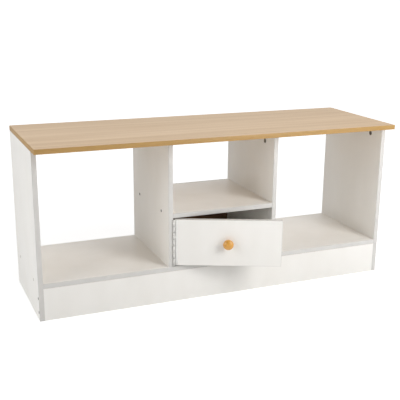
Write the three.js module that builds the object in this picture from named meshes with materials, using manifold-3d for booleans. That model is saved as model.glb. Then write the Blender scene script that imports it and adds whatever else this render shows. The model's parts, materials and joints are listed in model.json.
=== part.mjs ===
// A low TV stand of melamine-faced board: three bays, with a hinged door on the lower middle one.
// Millimetres. X runs along the width, Y from front to back and Z up. The origin is on the floor, in
// the middle of the front plinth's underside. The door stands ajar.
import * as THREE from 'three';
import { mergeVertices } from 'three/addons/utils/BufferGeometryUtils.js';
import Module from 'manifold-3d';

const wasm = await Module();
wasm.setup();

// Driving dimensions.
const WIDTH = 1200;
const HEIGHT = 535;
const BOARD = 15; // every panel but the cupboard's back
const CARCASS_DEPTH = 355;
const TOP_OVERHANG = 50; // how far the top stands forward of the carcass
const PLINTH_HEIGHT = 103;
const BAY_WIDTH = 397; // left and right bays, from side panel to divider
const CUPBOARD_HEIGHT = 160; // from the base to the middle shelf's underside
const BAND = 1; // edge band
const BACK_BOARD = 3; // hardboard behind the cupboard
const BACK_RECESS = 0.5; // how far it lies inside the dividers' rear edges

const DOOR_OPEN = THREE.MathUtils.degToRad(23.3); // how far ajar the door stands
const DOOR_WIDTH = 338;
const DOOR_GAP_BELOW = 4.5;
const DOOR_GAP_ABOVE = 4;
const GAP = 0.3; // clearance round anything that sits in a hole or turns with the door

const KNUCKLE_RADIUS = 2.5; // continuous hinge
const KNUCKLE_BORE = 1.3;
const KNUCKLE_ROOT = 1.7; // from the hinge's axis to where the fixed leaf runs into a knuckle's wall
const KNUCKLES = 7;
const HINGE_PIN_RADIUS = 1;
const LEAF = 0.8; // leaf thickness
const LEAF_DEPTH = 13; // the fixed leaf, on the divider's inner face
const LEAF_TO_AXIS = 0.5; // from the hinge's axis to that leaf's inner face
const LEAF_SCREWS = 3;
const LEAF_SCREW_DEPTH = 8; // behind the carcass's front plane
const LEAF_SCREW_END = 20; // from the end screws to either leaf's ends
const DOOR_LEAF_START = 2.3; // the door's leaf lies on its front face, between these distances from the axis
const DOOR_LEAF_END = 11.3;
const DOOR_LEAF_SCREW = 7.2; // from the axis to its screws

const KNOB_RADIUS = 16.8;
const KNOB_LENGTH = 27;
const KNOB_FOOT_RADIUS = 10;
const KNOB_FOOT = 1.2; // the foot's straight rim
const KNOB_NECK_RADIUS = 7;
const KNOB_NECK = 6; // from the foot's face to the ball
const KNOB_BALL_START = 0.42; // where the ball's curve leaves the neck, in radians from its pole

const CAM_RADIUS = 7.5; // cam fittings that pull the top down onto the uprights
const CAM_THICKNESS = 12.2;
const CAM_DROP = 31.5; // cam's centre below the top's underside
const CAM_CROSS = 4.5; // the cross slot in a cam's face: half its length, half its width, its depth
const CAM_CROSS_HALF_WIDTH = 0.7;
const CAM_CROSS_DEPTH = 1.5;
const BOLT_HEAD_RADIUS = 3.2;
const BOLT_NECK_RADIUS = 1.9;
const BOLT_THREAD_RADIUS = 2.6;
const BOLT_HEAD = 3; // heights up the bolt, from its foot
const BOLT_NECK = 4;
const BOLT_CHAMFER = 0.5;
const BOLT_INTO_TOP = 11;

const CATCH_X = 138; // middle of the magnetic catch, which stands on the base
const CATCH_WIDTH = 30;
const CATCH_DEPTH = 14;
const CATCH_HEIGHT = 11;
const CATCH_BEHIND_DOOR = 1.6; // from the shut door's back to the catch
const CATCH_SCREW_DEPTH = 7; // from the catch's front to its screws
const CATCH_SCREW_X = 21; // from the catch's middle to its screws
const EAR = 3; // thickness of the catch's ears
const EAR_END = 5; // from a screw to the end of its ear
const MAGNET_WIDTH = 22; // the sunk face of the magnet
const MAGNET_SINK = 1;
const MAGNET_LOW = 5; // above the base
const MAGNET_HIGH = 9;
const STRIKE = 1; // strike plate's thickness
const STRIKE_WIDTH = 20;
const STRIKE_HEIGHT = 9;
const STRIKE_MIDDLE = 10; // above the base

// Fixings' distances from the carcass's front plane.
const CAM_PLACES = { front: 66, rear: 287 };
const BASE_SCREW_PLACES = { front: 71, rear: 290 };
const SHELF_SCREW_PLACES = { front: 69, rear: 287 };
const DIVIDER_SCREW_PLACES = [69, 287]; // up through the base into each divider's foot
const PLINTH_SCREW_HEIGHTS = { upper: 72, lower: 27 };
const CAP_RECESS = 1.2; // the caps over the base screws lie in a shallow recess
const CAP_RADIUS = 5.2;

// Planes worked out from the driving dimensions.
const HALF = WIDTH / 2;
const FRONT = -BOARD / 2;
const BACK = FRONT + CARCASS_DEPTH;
const TOP_FRONT = FRONT - TOP_OVERHANG;
const TOP_UNDER = HEIGHT - BOARD;
const BASE_TOP = PLINTH_HEIGHT + BOARD;
const SHELF_UNDER = BASE_TOP + CUPBOARD_HEIGHT;
const SHELF_TOP = SHELF_UNDER + BOARD;
const SIDE_INNER = HALF - BOARD;
const DIVIDER_OUTER = SIDE_INNER - BAY_WIDTH;
const DIVIDER_INNER = DIVIDER_OUTER - BOARD;
const HINGE_X = -DIVIDER_INNER + LEAF + LEAF_TO_AXIS;
const HINGE_Y = FRONT - KNUCKLE_RADIUS - GAP;
const DOOR_LOW = BASE_TOP + DOOR_GAP_BELOW;
const DOOR_HIGH = SHELF_UNDER - DOOR_GAP_ABOVE;
const DOOR_HEIGHT = DOOR_HIGH - DOOR_LOW;
const DOOR_MIDDLE = (DOOR_LOW + DOOR_HIGH) / 2;

const finish = (color, roughness, metalness = 0) =>
  new THREE.MeshStandardMaterial({ color, roughness, metalness, flatShading: true });
const BEECH_TOP = finish('#d8bf9e', 0.45);
const BEECH_BAND = finish('#c4a06a', 0.5);
const WHITE_BOARD = finish('#eceae6', 0.4);
const WHITE_BAND = finish('#dcd9d4', 0.45);
const HARDBOARD = finish('#7a5638', 0.7);
const BEECH_KNOB = finish('#d9a556', 0.35);
const WHITE_METAL = finish('#e4e3df', 0.4);
const STEEL = finish('#a9a9a6', 0.35, 1);
const BRONZE_STEEL = finish('#4a4038', 0.45, 1);
const DARK_ZINC = finish('#5a5048', 0.5, 1);
const WHITE_PLASTIC = finish('#e8e6e1', 0.45);

const SCREW_RIM = 0.4; // the straight rim of a screw's head
const SCREW_SLOT = 1; // width of the cross slot in it
const PAST = 1; // how far a cutting shape runs past the face that it cuts

const stand = new THREE.Group();
const UP = new THREE.Vector3(0, 1, 0);

// Adds a named sub-part to a group, at a place, with its own +Y turned to face a direction.
function add(group, name, geometry, material, place = [0, 0, 0], facing = UP) {
  const mesh = new THREE.Mesh(geometry, material);
  mesh.name = name;
  mesh.position.set(...place);
  mesh.quaternion.setFromUnitVectors(UP, facing);
  group.add(mesh);
  return mesh;
}

function toSolid(geometry) {
  const bare = geometry.clone();
  bare.deleteAttribute('normal');
  bare.deleteAttribute('uv');
  const merged = mergeVertices(bare, 1e-4);
  const vertProperties = Float32Array.from(merged.attributes.position.array);
  const triVerts = Uint32Array.from(merged.index.array);
  return new wasm.Manifold(new wasm.Mesh({ numProp: 3, vertProperties, triVerts }));
}

function toGeometry(solid) {
  const mesh = solid.getMesh();
  const geometry = new THREE.BufferGeometry();
  geometry.setAttribute('position', new THREE.BufferAttribute(Float32Array.from(mesh.vertProperties), 3));
  geometry.setIndex(new THREE.BufferAttribute(Uint32Array.from(mesh.triVerts), 1));
  geometry.computeVertexNormals();
  return geometry;
}

const cut = (geometry, cutters) =>
  toGeometry(cutters.reduce((solid, cutter) => solid.subtract(toSolid(cutter)), toSolid(geometry)));
const join = (geometries) =>
  toGeometry(geometries.map(toSolid).reduce((solid, other) => solid.add(other)));

// A block between two corners.
function block(low, high) {
  const size = low.map((value, i) => high[i] - value);
  return new THREE.BoxGeometry(...size).translate(...low.map((value, i) => value + size[i] / 2));
}

// A turned shape: [radius, height] points from its foot on the axis to its head on the axis.
const turned = (points, segments = 10) =>
  new THREE.LatheGeometry(points.map(([radius, height]) => new THREE.Vector2(radius, height)), segments);

// A copy of a geometry with its +Y turned to face a direction and its origin moved to a place.
function aim(geometry, place, facing) {
  const turn = new THREE.Quaternion().setFromUnitVectors(UP, facing);
  return geometry.clone().applyQuaternion(turn).translate(...place);
}

const LEFTWARD = new THREE.Vector3(-1, 0, 0);
const RIGHTWARD = new THREE.Vector3(1, 0, 0);
const FORWARD = new THREE.Vector3(0, -1, 0);
const BACKWARD = new THREE.Vector3(0, 1, 0);
const UPWARD = new THREE.Vector3(0, 0, 1);
const DOWNWARD = new THREE.Vector3(0, 0, -1);

// A rectangular panel, with the holes that its fixings need.
function board(group, name, low, high, material, holes = []) {
  const geometry = holes.length ? cut(block(low, high), holes) : block(low, high);
  const centre = low.map((value, i) => (value + high[i]) / 2);
  return add(group, name, geometry.translate(...centre.map((value) => -value)), material, centre);
}

// A countersunk screw with a cross slot. Its head's flat is at the origin and it points down -Y.
function screwGeometry({ length, shank, head }) {
  const slotDepth = shank * 0.8;
  const slot = head * 0.55;
  const half = SCREW_SLOT / 2;
  const body = turned([
    [0, -length], [shank, -length + 2 * shank], [shank, -(head - shank) - SCREW_RIM],
    [head, -SCREW_RIM], [head, 0], [0, 0],
  ]);
  return cut(body, [
    block([-slot, -slotDepth, -half], [slot, PAST, half]),
    block([-half, -slotDepth, -slot], [half, PAST, slot]),
  ]);
}

// A plain round peg, for cutting a hole or for a pin.
const peg = (radius, low, high, segments = 10) =>
  turned([[0, low], [radius, low], [radius, high], [0, high]], segments);

// The hole that clears a screw.
const screwHole = ({ length, shank, head }) =>
  turned([
    [0, -length - GAP], [shank + GAP, -length - GAP], [shank + GAP, -(head - shank) - SCREW_RIM],
    [head + GAP, -SCREW_RIM], [head + GAP, PAST], [0, PAST],
  ]);

const BOARD_SCREW = { length: 45, shank: 2.4, head: 4.7 };
const SMALL_SCREW = { length: 12, shank: 1.4, head: 2.8 };
const KNOB_SCREW = { length: 26, shank: 2, head: 3.8 };
const LEAF_SCREW = { length: 13, shank: 1.3, head: 2.3 };

// Screws through an upright into the end of a level board, on both sides of the stand.
const holesIn = { side: { left: [], right: [] }, divider: { left: [], right: [] } };
const endHoles = { base: [], plinth: [], shelf: [] };
const SIDES = { left: LEFTWARD, right: RIGHTWARD };

function endScrews(label, upright, level, faceX, places, recess = 0) {
  for (const [side, outward] of Object.entries(SIDES)) {
    for (const [where, [y, z]] of Object.entries(places)) {
      const place = [outward.x * (faceX - recess), y, z];
      const hole = aim(screwHole(BOARD_SCREW), place, outward);
      holesIn[upright][side].push(hole);
      endHoles[level].push(hole);
      if (recess) {
        const cap = peg(CAP_RADIUS, 0, recess + PAST, 24);
        holesIn[upright][side].push(aim(cap, place, outward));
      }
      const name = `${side}_${label}_screw_${where}`;
      add(stand, name, screwGeometry(BOARD_SCREW), BRONZE_STEEL, place, outward);
    }
  }
}

const placesAlong = (places, z) =>
  Object.fromEntries(Object.entries(places).map(([where, y]) => [where, [FRONT + y, z]]));
const placesUp = (heights, y) =>
  Object.fromEntries(Object.entries(heights).map(([where, z]) => [where, [y, z]]));

const baseScrews = placesAlong(BASE_SCREW_PLACES, PLINTH_HEIGHT + BOARD / 2);
const plinthScrews = placesUp(PLINTH_SCREW_HEIGHTS, 0);
const shelfScrews = placesAlong(SHELF_SCREW_PLACES, SHELF_UNDER + BOARD / 2);
endScrews('base', 'side', 'base', HALF, baseScrews, CAP_RECESS);
endScrews('plinth', 'side', 'plinth', HALF, plinthScrews);
endScrews('shelf', 'divider', 'shelf', DIVIDER_OUTER, shelfScrews);

// Countersunk holes up through the base into the dividers' feet.
for (const [side, outward] of Object.entries(SIDES)) {
  for (const y of DIVIDER_SCREW_PLACES) {
    const place = [outward.x * (DIVIDER_INNER + BOARD / 2), FRONT + y, PLINTH_HEIGHT];
    const hole = aim(screwHole(BOARD_SCREW), place, DOWNWARD);
    endHoles.base.push(hole);
    holesIn.divider[side].push(hole);
  }
}

// Cam fittings: a cam in the upright's face turns on the head of a bolt that hangs from the top.
const topHoles = [];
const camCentre = TOP_UNDER - CAM_DROP;
const boltLow = camCentre - BOLT_HEAD_RADIUS;
const boltHigh = TOP_UNDER + BOLT_INTO_TOP;

// The bolt stands at its own place on the floor plan. Its heights are above the floor.
function boltShape() {
  const neckLow = boltLow + BOLT_HEAD;
  const neckHigh = neckLow + BOLT_NECK;
  const shoulder = TOP_UNDER - BOLT_CHAMFER;
  return turned([
    [0, boltLow], [BOLT_HEAD_RADIUS, boltLow], [BOLT_HEAD_RADIUS, neckLow - BOLT_CHAMFER],
    [BOLT_NECK_RADIUS, neckLow], [BOLT_NECK_RADIUS, neckHigh],
    [BOLT_HEAD_RADIUS, neckHigh + BOLT_CHAMFER], [BOLT_HEAD_RADIUS, shoulder],
    [BOLT_THREAD_RADIUS, shoulder], [BOLT_THREAD_RADIUS, boltHigh], [0, boltHigh],
  ], 8);
}

// The cam, with its face at the origin looking along +Y and the bolt's channel coming in from one side.
function camShape(channelFacing) {
  const disc = peg(CAM_RADIUS, -CAM_THICKNESS, 0, 20);
  const channelRadius = BOLT_HEAD_RADIUS + 2 * GAP;
  const channelFoot = -channelRadius - GAP;
  const channelMiddle = [0, GAP - BOARD / 2, 0];
  const channel = aim(peg(channelRadius, channelFoot, CAM_RADIUS + PAST), channelMiddle, channelFacing);
  const [arm, half, depth] = [CAM_CROSS, CAM_CROSS_HALF_WIDTH, CAM_CROSS_DEPTH];
  const slots = [
    block([-arm, -depth, -half], [arm, PAST, half]),
    block([-half, -depth, -arm], [half, PAST, arm]),
  ];
  return cut(disc, [channel, ...slots]);
}

// An upright's two cams. `inward` is the way its inner face looks.
function camFittings(upright, side, faceX, inward) {
  for (const [where, y] of Object.entries(CAM_PLACES)) {
    const boltX = faceX - inward.x * (BOARD / 2);
    const camPlace = [faceX - inward.x * GAP, FRONT + y, camCentre];
    const turn = new THREE.Quaternion().setFromUnitVectors(UP, inward).invert();
    const channelFacing = UPWARD.clone().applyQuaternion(turn);
    const boltPlace = [boltX, FRONT + y, 0];
    const bore = peg(CAM_RADIUS + GAP, -CAM_THICKNESS - 2 * GAP, PAST, 20);
    const shaft = peg(BOLT_HEAD_RADIUS + GAP, camCentre, TOP_UNDER + PAST);
    const socket = peg(BOLT_THREAD_RADIUS + GAP, TOP_UNDER - PAST, boltHigh + GAP);
    holesIn[upright][side].push(
      aim(bore, [faceX, FRONT + y, camCentre], inward),
      aim(shaft, boltPlace, UPWARD),
    );
    topHoles.push(aim(socket, boltPlace, UPWARD));
    const name = `${side}_${upright}_cam`;
    add(stand, `${name}_${where}`, camShape(channelFacing), DARK_ZINC, camPlace, inward);
    add(stand, `${name}_bolt_${where}`, boltShape(), STEEL, boltPlace, UPWARD);
  }
}

camFittings('side', 'left', -SIDE_INNER, RIGHTWARD);
camFittings('side', 'right', SIDE_INNER, LEFTWARD);
camFittings('divider', 'left', -DIVIDER_INNER, RIGHTWARD);
camFittings('divider', 'right', DIVIDER_INNER, LEFTWARD);

// Top panel, banded on its front and ends.
board(stand, 'top_panel', [-HALF + BAND, TOP_FRONT + BAND, TOP_UNDER], [HALF - BAND, BACK, HEIGHT],
  BEECH_TOP, topHoles);
board(stand, 'top_front_band', [-HALF, TOP_FRONT, TOP_UNDER], [HALF, TOP_FRONT + BAND, HEIGHT], BEECH_BAND);
board(stand, 'top_left_band', [-HALF, TOP_FRONT + BAND, TOP_UNDER], [-HALF + BAND, BACK, HEIGHT], BEECH_BAND);
board(stand, 'top_right_band', [HALF - BAND, TOP_FRONT + BAND, TOP_UNDER], [HALF, BACK, HEIGHT], BEECH_BAND);

// The hinge's screws: three up each leaf. The fixed leaf's go into the divider.
const leafScrewSpan = DOOR_HEIGHT - 2 * LEAF_SCREW_END;
const leafScrewHeights = Array.from({ length: LEAF_SCREWS },
  (_, i) => DOOR_LOW + LEAF_SCREW_END + (i / (LEAF_SCREWS - 1)) * leafScrewSpan);
const leafScrewHoles = (x, y, facing) =>
  leafScrewHeights.map((z) => aim(screwHole(LEAF_SCREW), [x, y, z], facing));
holesIn.divider.left.push(...leafScrewHoles(HINGE_X - LEAF_TO_AXIS, FRONT + LEAF_SCREW_DEPTH, RIGHTWARD));

// Side panels and dividers: each upright runs up to the top's underside and is banded in front.
function upright(name, lowX, foot, holes) {
  board(stand, name, [lowX, FRONT + BAND, foot], [lowX + BOARD, BACK, TOP_UNDER], WHITE_BOARD, holes);
  board(stand, `${name}_band`, [lowX, FRONT, foot], [lowX + BOARD, FRONT + BAND, TOP_UNDER], WHITE_BAND);
}
upright('left_side_panel', -HALF, 0, holesIn.side.left);
upright('right_side_panel', SIDE_INNER, 0, holesIn.side.right);
upright('left_divider', -DIVIDER_OUTER, BASE_TOP, holesIn.divider.left);
upright('right_divider', DIVIDER_INNER, BASE_TOP, holesIn.divider.right);

// Magnetic catch on the base: a block that holds the magnet, with an ear at each end for its screw.
const catchFront = FRONT + BOARD + CATCH_BEHIND_DOOR;
const catchScrewY = catchFront + CATCH_SCREW_DEPTH;
const catchScrewPlaces = [
  ['left', [CATCH_X - CATCH_SCREW_X, catchScrewY, BASE_TOP + EAR]],
  ['right', [CATCH_X + CATCH_SCREW_X, catchScrewY, BASE_TOP + EAR]],
];
const catchHoles = catchScrewPlaces.map(([, place]) => aim(screwHole(SMALL_SCREW), place, UPWARD));

function catchShape() {
  const halfBody = CATCH_WIDTH / 2;
  const halfLength = CATCH_SCREW_X + EAR_END;
  const halfMagnet = MAGNET_WIDTH / 2;
  const outline = new THREE.Shape([
    [-halfLength, 0], [halfLength, 0], [halfLength, EAR], [halfBody, EAR], [halfBody, CATCH_HEIGHT],
    [-halfBody, CATCH_HEIGHT], [-halfBody, EAR], [-halfLength, EAR],
  ].map(([x, z]) => new THREE.Vector2(x, z)));
  const body = new THREE.ExtrudeGeometry(outline, { depth: CATCH_DEPTH, bevelEnabled: false });
  body.rotateX(Math.PI / 2).translate(CATCH_X, catchFront + CATCH_DEPTH, BASE_TOP);
  const magnetFace = block([-halfMagnet, -PAST, MAGNET_LOW], [halfMagnet, MAGNET_SINK, MAGNET_HIGH]);
  return cut(body, [magnetFace.translate(CATCH_X, catchFront, BASE_TOP), ...catchHoles]);
}
add(stand, 'magnetic_catch', catchShape(), WHITE_PLASTIC);
for (const [side, place] of catchScrewPlaces) {
  add(stand, `catch_screw_${side}`, screwGeometry(SMALL_SCREW), STEEL, place, UPWARD);
}

// Base panel on its plinth.
board(stand, 'base_panel', [-SIDE_INNER, FRONT + BAND, PLINTH_HEIGHT], [SIDE_INNER, BACK, BASE_TOP],
  WHITE_BOARD, [...endHoles.base, ...catchHoles]);
board(stand, 'base_panel_band', [-SIDE_INNER, FRONT, PLINTH_HEIGHT], [SIDE_INNER, FRONT + BAND, BASE_TOP],
  WHITE_BAND);
board(stand, 'front_plinth', [-SIDE_INNER, FRONT, 0], [SIDE_INNER, FRONT + BOARD, PLINTH_HEIGHT],
  WHITE_BOARD, endHoles.plinth);

// Middle shelf, and the hardboard let in behind it and the cupboard.
const backLow = BACK - BACK_RECESS - BACK_BOARD;
const backHigh = BACK - BACK_RECESS;
board(stand, 'middle_shelf', [-DIVIDER_INNER, FRONT + BAND, SHELF_UNDER], [DIVIDER_INNER, backLow, SHELF_TOP],
  WHITE_BOARD, endHoles.shelf);
board(stand, 'middle_shelf_band', [-DIVIDER_INNER, FRONT, SHELF_UNDER],
  [DIVIDER_INNER, FRONT + BAND, SHELF_TOP], WHITE_BAND);
board(stand, 'cupboard_back', [-DIVIDER_INNER, backLow, BASE_TOP], [DIVIDER_INNER, backHigh, SHELF_TOP],
  HARDBOARD);

// Continuous hinge. Each leaf is a plate with its share of the knuckles, which take turns up the pin.
// Both leaves are drawn about an axis at x = 0, y = 0.
const knucklePitch = DOOR_HEIGHT / KNUCKLES;
const doorFront = FRONT - HINGE_Y;
const doorLeafFront = doorFront - GAP - LEAF;

// Every second knuckle, with the root that joins it to its leaf: a block between two floor-plan corners.
function knuckles(first, rootLow, rootHigh) {
  const pieces = [];
  for (let i = first; i < KNUCKLES; i += 2) {
    const low = DOOR_LOW + i * knucklePitch + (i ? GAP / 2 : 0);
    const high = DOOR_LOW + (i + 1) * knucklePitch - (i < KNUCKLES - 1 ? GAP / 2 : 0);
    const ring = turned([
      [KNUCKLE_BORE, low], [KNUCKLE_RADIUS, low], [KNUCKLE_RADIUS, high],
      [KNUCKLE_BORE, high], [KNUCKLE_BORE, low],
    ], 16);
    pieces.push(aim(ring, [0, 0, 0], UPWARD), block([...rootLow, low], [...rootHigh, high]));
  }
  return pieces;
}

function fixedLeafShape() {
  const back = -LEAF_TO_AXIS - LEAF;
  const plate = block([back, doorFront, DOOR_LOW], [-LEAF_TO_AXIS, doorFront + LEAF_DEPTH, DOOR_HIGH]);
  const roots = knuckles(0, [back, KNUCKLE_ROOT], [-LEAF_TO_AXIS, doorFront + LEAF]);
  return cut(join([plate, ...roots]), leafScrewHoles(-LEAF_TO_AXIS, doorFront + LEAF_SCREW_DEPTH, RIGHTWARD));
}

function doorLeafShape() {
  const leafBack = doorFront - GAP;
  const plate = block([DOOR_LEAF_START, doorLeafFront, DOOR_LOW], [DOOR_LEAF_END, leafBack, DOOR_HIGH]);
  const roots = knuckles(1, [LEAF, doorLeafFront], [DOOR_LEAF_START + LEAF, leafBack]);
  return cut(join([plate, ...roots]), doorLeafHoles);
}

add(stand, 'hinge_leaf_fixed', fixedLeafShape(), WHITE_METAL, [HINGE_X, HINGE_Y, 0]);
add(stand, 'hinge_pin', peg(HINGE_PIN_RADIUS, DOOR_LOW, DOOR_HIGH), STEEL, [HINGE_X, HINGE_Y, 0], UPWARD);

// The door: its group turns about the hinge's axis. Inside the group the door is drawn shut.
const door = new THREE.Group();
door.position.set(HINGE_X, HINGE_Y, 0);
door.rotation.z = -DOOR_OPEN;
stand.add(door);

const doorLeafHoles = leafScrewHoles(DOOR_LEAF_SCREW, doorLeafFront, FORWARD);
add(door, 'hinge_leaf_door', doorLeafShape(), WHITE_METAL);

const doorLeft = LEAF_TO_AXIS + LEAF + GAP;
const doorRight = doorLeft + DOOR_WIDTH;
const doorBack = doorFront + BOARD;
const knobX = (doorLeft + doorRight) / 2;
const knobScrewPlace = [knobX, doorBack, DOOR_MIDDLE];
const strikeX = CATCH_X - HINGE_X;
const strikeZ = BASE_TOP + STRIKE_MIDDLE;
const strikeFace = doorBack + GAP + STRIKE;
const strikeScrewPlace = [strikeX, strikeFace, strikeZ];
const knobScrewHole = aim(screwHole(KNOB_SCREW), knobScrewPlace, BACKWARD);
const strikeScrewHole = aim(screwHole(SMALL_SCREW), strikeScrewPlace, BACKWARD);

const seam = BAND + GAP / 2; // the band keeps a hairline to the door's edge
board(door, 'door_panel', [doorLeft + seam, doorFront, DOOR_LOW + seam],
  [doorRight - seam, doorBack, DOOR_HIGH - seam],
  WHITE_BOARD, [knobScrewHole, strikeScrewHole, ...doorLeafHoles]);

// The band is one ring round the door's four edges.
function doorBandShape() {
  const ring = block([doorLeft, doorFront, DOOR_LOW], [doorRight, doorBack, DOOR_HIGH]);
  const inside = block([doorLeft + BAND, doorFront - PAST, DOOR_LOW + BAND],
    [doorRight - BAND, doorBack + PAST, DOOR_HIGH - BAND]);
  return cut(ring, [inside]);
}
add(door, 'door_band', doorBandShape(), WHITE_BAND);

// Round turned knob, from its foot on the door to its crown.
function knobShape() {
  const ballHalf = (KNOB_LENGTH - KNOB_NECK) / 2;
  const points = [
    [0, 0], [KNOB_FOOT_RADIUS, 0], [KNOB_FOOT_RADIUS, KNOB_FOOT],
    [KNOB_NECK_RADIUS, KNOB_NECK / 2], [KNOB_NECK_RADIUS, KNOB_NECK - KNOB_FOOT],
  ];
  const steps = 9;
  for (let i = 1; i <= steps; i++) {
    const turn = -Math.PI / 2 + KNOB_BALL_START + (i / steps) * (Math.PI - KNOB_BALL_START);
    const radius = i < steps ? KNOB_RADIUS * Math.cos(turn) : 0;
    points.push([radius, KNOB_NECK + ballHalf * (1 + Math.sin(turn))]);
  }
  return cut(turned(points, 28), [peg(KNOB_SCREW.shank + GAP, -PAST, KNOB_LENGTH / 2)]);
}
add(door, 'door_knob', knobShape(), BEECH_KNOB, [knobX, doorFront - GAP, DOOR_MIDDLE], FORWARD);
add(door, 'knob_screw', screwGeometry(KNOB_SCREW), STEEL, knobScrewPlace, BACKWARD);

// Strike plate that the catch holds, on the door's inner face.
function strikeShape() {
  const low = [strikeX - STRIKE_WIDTH / 2, doorBack + GAP, strikeZ - STRIKE_HEIGHT / 2];
  const high = [strikeX + STRIKE_WIDTH / 2, strikeFace, strikeZ + STRIKE_HEIGHT / 2];
  return cut(block(low, high), [strikeScrewHole]);
}
add(door, 'strike_plate', strikeShape(), STEEL);
add(door, 'strike_screw', screwGeometry(SMALL_SCREW), STEEL, strikeScrewPlace, BACKWARD);

export default stand;
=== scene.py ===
"""A low TV stand in white and beech-effect board, with one hinged cupboard door. Lengths are in metres."""

import json
import math

import bmesh
import bpy
from mathutils import Matrix, Vector


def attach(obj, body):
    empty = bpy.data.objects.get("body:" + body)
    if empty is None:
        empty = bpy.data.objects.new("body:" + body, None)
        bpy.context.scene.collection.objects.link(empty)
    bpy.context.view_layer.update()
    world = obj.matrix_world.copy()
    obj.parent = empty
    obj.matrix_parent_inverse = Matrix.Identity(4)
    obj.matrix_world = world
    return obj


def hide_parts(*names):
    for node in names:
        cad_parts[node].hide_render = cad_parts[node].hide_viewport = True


bl_info = {
    "name": "TV stand with a hinged door",
    "version": (1, 0, 0),
    "blender": (4, 5, 0),
    "location": "View3D > Sidebar > TV stand",
    "description": "Finishes a flat-pack TV stand: boards, edge bands, door, hinge, knob and fittings",
    "category": "Object",
}

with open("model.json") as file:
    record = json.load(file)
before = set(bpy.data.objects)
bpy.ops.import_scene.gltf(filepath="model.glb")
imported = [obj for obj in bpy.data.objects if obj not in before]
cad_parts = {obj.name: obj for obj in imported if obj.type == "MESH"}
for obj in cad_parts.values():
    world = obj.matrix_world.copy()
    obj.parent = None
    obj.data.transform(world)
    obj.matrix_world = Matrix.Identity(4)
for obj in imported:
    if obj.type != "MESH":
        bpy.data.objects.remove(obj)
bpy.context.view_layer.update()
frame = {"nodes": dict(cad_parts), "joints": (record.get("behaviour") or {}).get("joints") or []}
nodes = frame["nodes"]

MM = 0.001
AXES = {"x": 0, "y": 1, "z": 2}
LEFT, RIGHT = Vector((-1, 0, 0)), Vector((1, 0, 0))
FORWARD, BACKWARD = Vector((0, -1, 0)), Vector((0, 1, 0))
UP, DOWN = Vector((0, 0, 1)), Vector((0, 0, -1))

# The door stands ajar. SHUT_TO_AJAR takes a point of the shut door, measured from the hinge's axis.
door_joint = frame["joints"][0]
hinge_axis = Vector((door_joint["pos_m"][0], door_joint["pos_m"][1], 0))
ajar = math.radians(door_joint["range_deg"][0])
SHUT_TO_AJAR = Matrix.Translation(hinge_axis) @ Matrix.Rotation(ajar, 4, "Z")
SETTLED = Matrix.Identity(4)


def box_in(node, place=SETTLED):
    """Lowest and highest corners of a frame node, in the axes of a place."""
    back = place.inverted()
    corners = [back @ vertex.co for vertex in nodes[node].data.vertices]
    low = Vector([min(corner[i] for corner in corners) for i in range(3)])
    high = Vector([max(corner[i] for corner in corners) for i in range(3)])
    return low, high


# ---------------------------------------------------------------- settings


def colour_setting(name, description, default):
    return bpy.props.FloatVectorProperty(
        name=name, description=description, default=default, subtype="COLOR", size=3, min=0, max=1
    )


def length_setting(name, description, default):
    return bpy.props.FloatProperty(
        name=name, description=description, default=default, unit="LENGTH", subtype="DISTANCE", min=0
    )


def power_setting(name, description, default):
    return bpy.props.FloatProperty(name=name, description=description, default=default, min=0, unit="POWER")


def light_setting(name, description, default):
    return bpy.props.FloatProperty(name=name, description=description, default=default, min=0)


class StandFinishes(bpy.types.PropertyGroup):
    """Colours of the stand's finishes, as linear RGB."""

    white_board: colour_setting("White board", "Melamine face of the carcass", (0.885, 0.868, 0.832))
    white_shade: colour_setting("White board shade", "Its faint darker clouds", (0.85, 0.83, 0.788))
    white_band: colour_setting("White band", "Edge band on the carcass and door", (0.67, 0.655, 0.63))
    beech_light: colour_setting("Beech light", "Light grain of the top", (0.80, 0.59, 0.375))
    beech_dark: colour_setting("Beech dark", "Dark grain of the top", (0.58, 0.375, 0.19))
    beech_fleck: colour_setting("Beech fleck", "Short flecks in the grain", (0.40, 0.25, 0.13))
    band_light: colour_setting("Beech band light", "Light grain of the top's edge", (0.50, 0.305, 0.105))
    band_dark: colour_setting("Beech band dark", "Dark grain of the top's edge", (0.37, 0.21, 0.062))
    chipboard: colour_setting("Chipboard", "Core of a board where it is cut", (0.42, 0.28, 0.16))
    chip_dark: colour_setting("Chipboard dark", "Dark chips in the core", (0.20, 0.12, 0.06))
    hardboard: colour_setting("Hardboard", "Back of the cupboard", (0.19, 0.095, 0.045))
    knob_light: colour_setting("Knob light", "Light grain of the knob", (0.78, 0.40, 0.08))
    knob_dark: colour_setting("Knob dark", "Dark grain of the knob", (0.55, 0.25, 0.035))
    hinge_paint: colour_setting("Hinge paint", "Paint on the hinge strip", (0.84, 0.83, 0.80))
    white_plastic: colour_setting("White plastic", "Screw caps and catch", (0.68, 0.67, 0.64))
    bright_steel: colour_setting("Bright steel", "Hinge pin, strike plate, small screws", (0.56, 0.56, 0.54))
    # Board screws: nearly black, partly their own dark finish and partly painted shade of the sunk holes they
    # sit in.
    bronze_steel: colour_setting("Bronze steel", "Board screws", (0.022, 0.016, 0.011))
    dark_zinc: colour_setting("Dark zinc", "Cam fittings", (0.26, 0.215, 0.17))


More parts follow.
